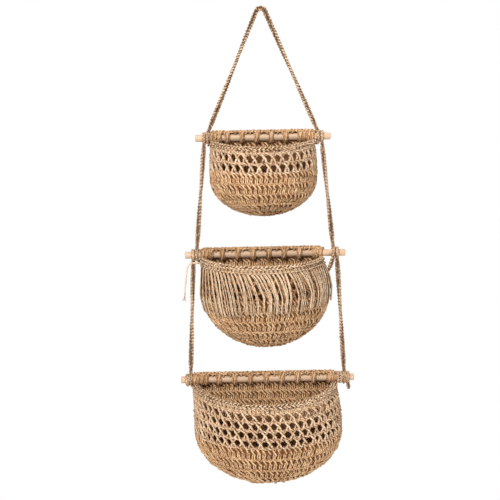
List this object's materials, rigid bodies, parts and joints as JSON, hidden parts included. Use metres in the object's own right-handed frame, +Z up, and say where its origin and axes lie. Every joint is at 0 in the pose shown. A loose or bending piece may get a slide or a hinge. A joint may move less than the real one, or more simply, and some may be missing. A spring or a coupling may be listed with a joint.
{
  "type": "hanging fruit basket",
  "caption": "Wall-hanging tiered basket: crocheted half-round pockets on wooden dowels, one with a fringe, carried by a crocheted cord that forms a triangle to its hook point.",
  "frame": {"origin": "underside of the cord's bend, where the hook's rod bears", "axes": "+X to the right seen from the front, -Y out to the front, +Y to the wall, +Z up"},
  "size_m": [0.345, 0.1201, 0.9536],
  "materials": {
    "basket_jute": "crocheted jute yarn, matte, tan",
    "edging_jute": "crocheted jute edging, matte, light tan",
    "fringe_yarn": "loose plied jute yarn, matte, cream",
    "cord_jute": "crocheted chain cord, matte, greyish tan",
    "dowel_wood": "bare pale wood, sanded"
  },
  "bodies": {
    "hanger": {"hanging_cord": "cord_jute", "top_hitch_left": "cord_jute", "top_hitch_right": "cord_jute"},
    "top_basket": {"top_dowel": "dowel_wood", "top_dowel_loops": "basket_jute", "top_back_panel": "basket_jute", "top_side_seam": "basket_jute", "top_front_pocket": "basket_jute", "top_rim": "edging_jute"},
    "middle_cords": {"middle_cord_left": "cord_jute", "middle_cord_right": "cord_jute", "middle_hitch_left": "cord_jute", "middle_hitch_right": "cord_jute"},
    "middle_basket": {"middle_dowel": "dowel_wood", "middle_dowel_loops": "basket_jute", "middle_back_panel": "basket_jute", "middle_side_seam": "basket_jute", "middle_front_pocket": "basket_jute", "middle_rim": "edging_jute", "middle_fringe": "fringe_yarn", "middle_yarn_tail": "fringe_yarn", "middle_side_braid": "cord_jute"},
    "bottom_cords": {"bottom_cord_left": "cord_jute", "bottom_cord_right": "cord_jute", "bottom_knot_left": "cord_jute", "bottom_knot_right": "cord_jute"},
    "bottom_basket": {"bottom_dowel": "dowel_wood", "bottom_dowel_loops": "basket_jute", "bottom_back_panel": "basket_jute", "bottom_side_seam": "basket_jute", "bottom_front_pocket": "basket_jute", "bottom_rim": "edging_jute"}
  },
  "joints": [
    {"name": "top_basket_tilt", "type": "hinge", "parent": "hanger", "child": "top_basket", "pos_m": [0, 0, -0.255], "axis": [-1, 0, 0], "range_deg": [0, 35]},
    {"name": "middle_cords_swing", "type": "hinge", "parent": "hanger", "child": "middle_cords", "pos_m": [0, 0, -0.255], "axis": [-1, 0, 0], "range_deg": [0, 25]},
    {"name": "middle_basket_tilt", "type": "hinge", "parent": "middle_cords", "child": "middle_basket", "pos_m": [0, 0, -0.488], "axis": [-1, 0, 0], "range_deg": [0, 35]},
    {"name": "bottom_cords_swing", "type": "hinge", "parent": "middle_cords", "child": "bottom_cords", "pos_m": [0, 0, -0.488], "axis": [-1, 0, 0], "range_deg": [0, 25]},
    {"name": "bottom_basket_tilt", "type": "hinge", "parent": "bottom_cords", "child": "bottom_basket", "pos_m": [0, 0, -0.737], "axis": [-1, 0, 0], "range_deg": [0, 35]}
  ]
}
